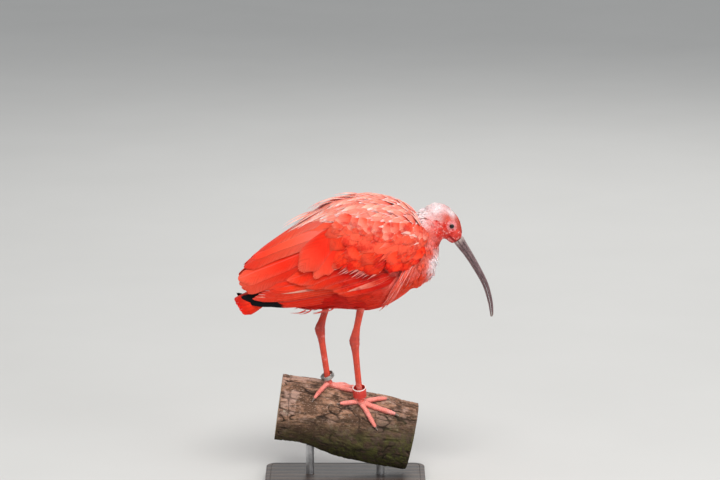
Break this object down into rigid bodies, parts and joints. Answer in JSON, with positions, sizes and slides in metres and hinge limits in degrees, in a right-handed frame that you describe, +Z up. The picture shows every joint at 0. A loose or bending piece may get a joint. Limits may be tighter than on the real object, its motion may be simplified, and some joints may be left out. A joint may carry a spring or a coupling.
{
  "type": "scarlet ibis figure on branch",
  "caption": "Life-size scarlet ibis standing with folded wings and a long downcurved bill on a cut branch, held by rods on a flat base.",
  "frame": {"origin": "middle of the base's underside, on the ground", "axes": "+Z up, +X the way the bird looks, +Y to its left"},
  "size_m": [0.38, 0.156, 0.436],
  "materials": {
    "plumage": "soft scarlet body feathers, paler salmon on the back",
    "neck_plumage": "soft pale salmon feathers",
    "head_plumage": "short pinkish white feathers on the crown, bare pink-red skin on the face",
    "wing_feathers": "scarlet vanes with a slight sheen, the longest tipped black",
    "eye": "dark and glossy",
    "bill_horn": "grey-brown horn, satin",
    "leg_skin": "coral red scaled skin, satin",
    "claw_horn": "dark horn, satin",
    "ring_metal": "plain, slightly dull",
    "ring_plastic": "coral red with white edges",
    "bark": "rough fissured bark",
    "base_wood": "dark stained, satin lacquer",
    "rod_steel": "brushed"
  },
  "bodies": {
    "root": {"perch_log": "bark", "stand_base": "base_wood", "stand_rod_rear": "rod_steel", "stand_rod_front": "rod_steel", "torso": "plumage", "neck": "neck_plumage", "head": "head_plumage", "wing_right": "wing_feathers", "wing_left": "wing_feathers", "tail": "wing_feathers", "eye_right": "eye", "eye_left": "eye", "bill_upper": "bill_horn", "bill_lower": "bill_horn", "tibia_left": "leg_skin", "tibia_right": "leg_skin", "tarsus_left": "leg_skin", "tarsus_right": "leg_skin", "foot_left": "leg_skin", "foot_right": "leg_skin", "ring_left": "ring_metal", "ring_right": "ring_plastic", "claw_left_inner": "claw_horn", "claw_left_middle": "claw_horn", "claw_left_outer": "claw_horn", "claw_left_hind": "claw_horn", "claw_right_inner": "claw_horn", "claw_right_middle": "claw_horn", "claw_right_outer": "claw_horn", "claw_right_hind": "claw_horn"}
  },
  "joints": []
}
